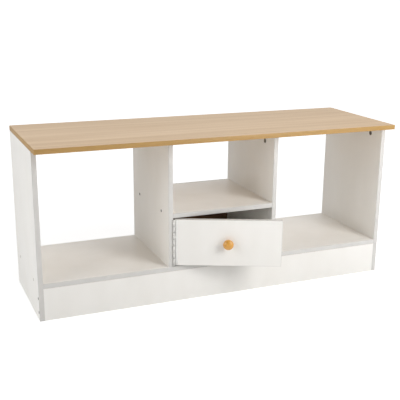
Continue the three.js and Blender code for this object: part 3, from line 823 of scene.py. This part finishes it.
class STAND_OT_hinge(bpy.types.Operator):
    """Roll the continuous hinge and screw it on"""

    bl_idname = "stand.hinge"
    bl_label = "Continuous hinge"

    def execute(self, context):
        finishes, sizes = context.scene.stand_finishes, context.scene.stand_sizes
        enamel = hinge_enamel(finishes)
        axis = Matrix.Translation(hinge_axis)
        half_sheet = sizes.leaf_thickness / 2
        roll = sizes.knuckle_radius - half_sheet
        fixed_curl, door_curl, curl_steps = 322, 300, 28

        # The fixed leaf lies on the divider's inner face, behind its knuckles.
        axis_to_face = 0.5 * MM
        leaf_front = sizes.knuckle_radius + 0.3 * MM
        front_to_screws = 8 * MM
        leaf_back = box_in("hinge_leaf_fixed", axis)[1].y
        plane = -axis_to_face - half_sheet
        turn = math.degrees(math.acos(plane / roll))
        curl = arc((0, 0), roll, turn, turn + fixed_curl, curl_steps)
        route = [(plane, leaf_back), (plane, leaf_front), *curl]
        self.leaf("hinge_leaf_fixed", route, 0, "carcass", axis, enamel)
        leaf_face = Vector((-axis_to_face, leaf_front + front_to_screws, 0))
        self.screws("hinge_leaf_fixed", "carcass", axis, RIGHT, leaf_face, enamel)

        # The door's leaf lies on the door's face, beside its knuckles.
        axis_to_leaf, axis_to_screws = 2.3 * MM, 7.2 * MM
        leaf_end = box_in("hinge_leaf_door", SHUT_TO_AJAR)[1].x
        curl = arc((0, 0), roll, 90, 90 + door_curl, curl_steps)
        route = [(leaf_end, roll), (axis_to_leaf, roll), *curl]
        self.leaf("hinge_leaf_door", route, 1, "door", SHUT_TO_AJAR, enamel)
        leaf_face = Vector((axis_to_screws, roll - half_sheet, 0))
        self.screws("hinge_leaf_door", "door", SHUT_TO_AJAR, FORWARD, leaf_face, enamel)

        low, high = box_in("hinge_pin")
        play, ease = 0.08 * MM, 0.4 * MM
        radius = sizes.knuckle_radius - sizes.leaf_thickness - play
        outline = [(0, low.z), (radius - ease, low.z), (radius, low.z + ease)]
        outline += [(radius, high.z - ease), (radius - ease, high.z), (0, high.z)]
        bm = bmesh.new()
        add_turned(bm, outline, 32, axis)
        steel = metal("hinge_steel", finishes.bright_steel, 0.28, 0.42)
        finish_piece("hinge_pin_turned", bm, "carcass", steel, ["hinge_pin"], smooth=40)
        return {"FINISHED"}

    def leaf(self, node, route, first_knuckle, body, place, enamel):
        """A route starts with the leaf's two edges; the rest is the knuckle, rolled from the same sheet."""
        sizes = bpy.context.scene.stand_sizes
        low, high = box_in(node, place)
        pitch = (high.z - low.z) / sizes.knuckles
        bm = bmesh.new()
        for i in range(sizes.knuckles):
            z_low = low.z + i * pitch
            z_high = z_low + pitch
            self.sheet(bm, route[:2], z_low, z_high)
            if i % 2 == first_knuckle:
                play = sizes.knuckle_gap / 2
                knuckle_low = z_low + (play if i else 0)
                knuckle_high = z_high - (play if i < sizes.knuckles - 1 else 0)
                self.sheet(bm, route[1:], knuckle_low, knuckle_high)
        bmesh.ops.remove_doubles(bm, verts=bm.verts, dist=1e-6)
        piece = finish_piece(f"{node}_rolled", bm, body, enamel, [node], place, smooth=40)
        solid = piece.modifiers.new("sheet", "SOLIDIFY")
        solid.thickness = sizes.leaf_thickness
        solid.offset = 0

    def sheet(self, bm, route, z_low, z_high):
        points = [bm.verts.new((x, y, z_low)) for x, y in route]
        edges = [bm.edges.new(pair) for pair in zip(points, points[1:])]
        made = bmesh.ops.extrude_edge_only(bm, edges=edges)["geom"]
        verts = [item for item in made if isinstance(item, bmesh.types.BMVert)]
        bmesh.ops.translate(bm, vec=(0, 0, z_high - z_low), verts=verts)

    def screws(self, node, body, place, outward, leaf_face, enamel):
        """Three small painted screws up the leaf, their heads almost flush."""
        low, high = box_in(node, place)
        length, sink, segments = 12.5 * MM, 0.12 * MM, 24
        mesh = screw_mesh("leaf_screw_one", length, *LEAF_SCREW, segments)
        count, end = 3, 20 * MM
        sunk = leaf_face - outward * sink
        places = []
        for i in range(count):
            z = low.z + end + (high.z - low.z - 2 * end) * i / (count - 1)
            places.append(facing(outward, sunk + Vector((0, 0, z))))
        finish_piece(f"{node}_screws", stamped(mesh, places), body, enamel, place=place)


class STAND_OT_knob(bpy.types.Operator):
    """Turn the beech knob and drive its screw"""

    bl_idname = "stand.knob"
    bl_label = "Beech knob"

    def execute(self, context):
        finishes, sizes = context.scene.stand_finishes, context.scene.stand_sizes
        low, high = box_in("door_knob", SHUT_TO_AJAR)
        radius = (high.x - low.x) / 2
        foot, bore = 10 * MM, 2.3 * MM
        rim = foot - 0.5 * MM
        neck_end = 5.6 * MM
        half = (high.y - low.y - neck_end) / 2
        outline = [(0, sizes.knob_bore), (bore, sizes.knob_bore - 0.8 * MM), (bore, 0), (rim, 0)]
        outline += [(foot, 0.4 * MM), (foot, 1.1 * MM), (rim, 1.5 * MM)]
        outline += arc((rim, 3.7 * MM), 2.2 * MM, 250, 190, 6)
        ball_start, steps = 8.1 * MM, 28
        start = math.degrees(math.asin(min(1, ball_start / radius)))
        for i in range(steps + 1):
            angle = math.radians(-90 + start + (180 - start) * i / steps)
            across = radius * math.cos(angle) if i < steps else 0
            outline.append((max(0, across), neck_end + half * (1 + math.sin(angle))))
        bm = bmesh.new()
        middle = Vector(((low.x + high.x) / 2, high.y, (low.z + high.z) / 2))
        add_turned(bm, outline, 64, facing(FORWARD, middle))
        wood = turned_beech(finishes)
        finish_piece("door_knob_turned", bm, "door", wood, ["door_knob"], SHUT_TO_AJAR, 32)
        steel = metal("knob_screw_steel", finishes.bright_steel, 0.3, 0.45)
        driven = [("knob_screw", BACKWARD)]
        screw_set("knob_screw_driven", driven, KNOB_SCREW, "door", steel, SHUT_TO_AJAR)
        return {"FINISHED"}


class STAND_OT_catch(bpy.types.Operator):
    """Finish the magnetic catch and its strike plate"""

    bl_idname = "stand.catch"
    bl_label = "Magnetic catch"

    def execute(self, context):
        finishes = context.scene.stand_finishes
        plastic = moulded_plastic(finishes)
        steel = metal("catch_steel", finishes.bright_steel, 0.3, 0.45)
        door_steel = metal("strike_steel", finishes.bright_steel, 0.25, 0.4, turn=-ajar)
        paint("magnetic_catch", plastic)
        paint("strike_plate", door_steel)
        low, high = box_in("magnetic_catch")
        middle = Vector(((low.x + high.x) / 2, low.y + 0.4 * MM, low.z + 7 * MM))
        apart = Vector((5.2 * MM, 0, 0))
        half_plate = Vector((4.6, 0.5, 1.5)) * MM
        bm = bmesh.new()
        for side in (-1, 1):
            plate = middle + side * apart
            add_block(bm, plate - half_plate, plate + half_plate)
        bmesh.ops.bevel(
            bm, geom=list(bm.edges), offset=0.25 * MM, segments=2, profile=0.5, affect="EDGES", material=-1
        )
        finish_piece("catch_pole_plates", bm, "carcass", steel)
        ears = [(f"catch_screw_{side}", UP) for side in ("left", "right")]
        screw_set("catch_screws", ears, SMALL_SCREW, "carcass", steel)
        strike = [("strike_screw", BACKWARD)]
        screw_set(
            "strike_screw_driven", strike, SMALL_SCREW, "door", door_steel, SHUT_TO_AJAR
        )
        return {"FINISHED"}


# ---------------------------------------------------------------- stage

CAMERA_PLACE = (-0.97601, -2.15583, 0.97484)
CAMERA_TURN = (23.72, 16.97, 0.82)  # yaw, pitch and roll in degrees
CAMERA_SHIFT = (-0.0367, 0.049)
FLOOR_RADIUS = 60


class STAND_OT_stage(bpy.types.Operator):
    """Lay the floor and set the light and the camera"""

    bl_idname = "stand.stage"
    bl_label = "Stage"

    def execute(self, context):
        stage = context.scene.stand_stage
        self.floor(stage)
        self.surround(context.scene, stage)
        self.lamp("key", stage.key, where=(0.95, -1.6, 0.9), size=1.0, aim=(0.35, 0, 0.3))
        self.lamp("side", stage.side, where=(-3.0, -0.6, 1.3), size=2.0, aim=(-0.6, 0.1, 0.25))
        self.lamp("high", stage.high, where=(1.1, -2.1, 2.3), size=1.5, aim=(0.1, 0, 0.25))
        self.camera(context.scene, stage)
        return {"FINISHED"}

    def floor(self, stage):
        bm = bmesh.new()
        bmesh.ops.create_circle(bm, cap_ends=True, radius=FLOOR_RADIUS, segments=96)
        mesh = bpy.data.meshes.new("floor")
        bm.to_mesh(mesh)
        bm.free()
        recipe = Recipe("pale_floor")
        cloud = recipe.noise(recipe.where, 1.2, 2, 0.5)
        darker = [0.985 * channel for channel in stage.floor]
        colour = recipe.mix(cloud, stage.floor, darker)
        distance = recipe.node("ShaderNodeVectorMath", {0: recipe.where}, operation="LENGTH").outputs["Value"]
        glow = recipe.spread(distance, 0.8, 2.6, stage.near_glow, stage.far_glow)
        seen = recipe.node("ShaderNodeLightPath").outputs["Is Camera Ray"]
        glow = recipe.maths("MULTIPLY", glow, seen)
        mesh.materials.append(recipe.finish(colour, 0.75, Emission_Color=(1, 1, 1), Emission_Strength=glow))
        floor = bpy.data.objects.new("floor", mesh)
        bpy.context.scene.collection.objects.link(floor)

    def surround(self, scene, stage):
        """White to look at all round, but it lights the stand less, and least from the front left."""
        world = bpy.data.worlds.new("white_surround")
        world.use_nodes = True
        tree = world.node_tree
        background = tree.nodes["Background"]
        background.inputs["Color"].default_value = (1, 1, 1, 1)
        direction = add_node(tree, "ShaderNodeTexCoord").outputs["Generated"]
        compared = {0: direction, 1: Vector((-0.35, -1, 0)).normalized()}
        frontness = add_node(tree, "ShaderNodeVectorMath", compared, operation="DOT_PRODUCT").outputs["Value"]
        fading = {"Value": frontness, "From Min": -0.1, "From Max": 0.5}
        fading |= {"To Min": stage.surround, "To Max": stage.surround_front}
        strength = add_node(tree, "ShaderNodeMapRange", fading).outputs["Result"]
        seen = add_node(tree, "ShaderNodeLightPath").outputs["Is Camera Ray"]
        brighter = add_node(tree, "ShaderNodeMath", {0: strength, 1: seen}, operation="MAXIMUM")
        tree.links.new(brighter.outputs["Value"], background.inputs["Strength"])
        scene.world = world
        scene.view_settings.view_transform = "Standard"

    def lamp(self, name, power, where, size, aim):
        light = bpy.data.lights.new(name, "AREA")
        light.shape = "DISK"
        light.size = size
        light.energy = power
        lamp = bpy.data.objects.new(name, light)
        bpy.context.scene.collection.objects.link(lamp)
        towards = Vector(aim) - Vector(where)
        lamp.matrix_world = Matrix.Translation(where) @ towards.to_track_quat("-Z", "Y").to_matrix().to_4x4()

    def camera(self, scene, stage):
        """Left of the stand and above it, looking right and down, with a slight roll."""
        data = bpy.data.cameras.new("camera")
        data.sensor_width = 36
        data.lens = stage.lens
        data.shift_x, data.shift_y = CAMERA_SHIFT
        yaw, pitch, roll = (math.radians(angle) for angle in CAMERA_TURN)
        forward = Vector((math.sin(yaw) * math.cos(pitch), math.cos(yaw) * math.cos(pitch), -math.sin(pitch)))
        right = Vector((math.cos(yaw), -math.sin(yaw), 0))
        down = forward.cross(right)
        across = right * math.cos(roll) - down * math.sin(roll)
        lower = right * math.sin(roll) + down * math.cos(roll)
        turn = Matrix((across, -lower, -forward)).transposed().to_4x4()
        camera = bpy.data.objects.new("camera", data)
        camera.matrix_world = Matrix.Translation(CAMERA_PLACE) @ turn
        scene.collection.objects.link(camera)
        scene.camera = camera


# ---------------------------------------------------------------- panel and registration

OPERATORS = (
    STAND_OT_white_boards,
    STAND_OT_beech_top,
    STAND_OT_edge_bands,
    STAND_OT_door_band,
    STAND_OT_cupboard_back,
    STAND_OT_board_screws,
    STAND_OT_screw_caps,
    STAND_OT_cam_fittings,
    STAND_OT_hinge,
    STAND_OT_knob,
    STAND_OT_catch,
    STAND_OT_stage,
)


class STAND_PT_sidebar(bpy.types.Panel):
    """Every step of the stand, in order, with its settings"""

    bl_label = "TV stand"
    bl_idname = "STAND_PT_sidebar"
    bl_space_type = "VIEW_3D"
    bl_region_type = "UI"
    bl_category = "TV stand"

    def draw(self, context):
        for operator in OPERATORS:
            self.layout.operator(operator.bl_idname)
        for settings in (context.scene.stand_finishes, context.scene.stand_sizes, context.scene.stand_stage):
            column = self.layout.column()
            for name in settings.bl_rna.properties.keys():
                if name not in ("rna_type", "name"):
                    column.prop(settings, name)


SETTINGS = {"stand_finishes": StandFinishes, "stand_sizes": StandSizes, "stand_stage": StandStage}


def register():
    for kind in (*SETTINGS.values(), *OPERATORS, STAND_PT_sidebar):
        bpy.utils.register_class(kind)
    for name, kind in SETTINGS.items():
        setattr(bpy.types.Scene, name, bpy.props.PointerProperty(type=kind))


def unregister():
    for name in SETTINGS:
        delattr(bpy.types.Scene, name)
    for kind in reversed((*SETTINGS.values(), *OPERATORS, STAND_PT_sidebar)):
        bpy.utils.unregister_class(kind)


def main():
    register()
    for operator in OPERATORS:
        group, name = operator.bl_idname.split(".")
        getattr(getattr(bpy.ops, group), name)()
    bpy.context.view_layer.update()


if __name__ == "__main__":
    main()
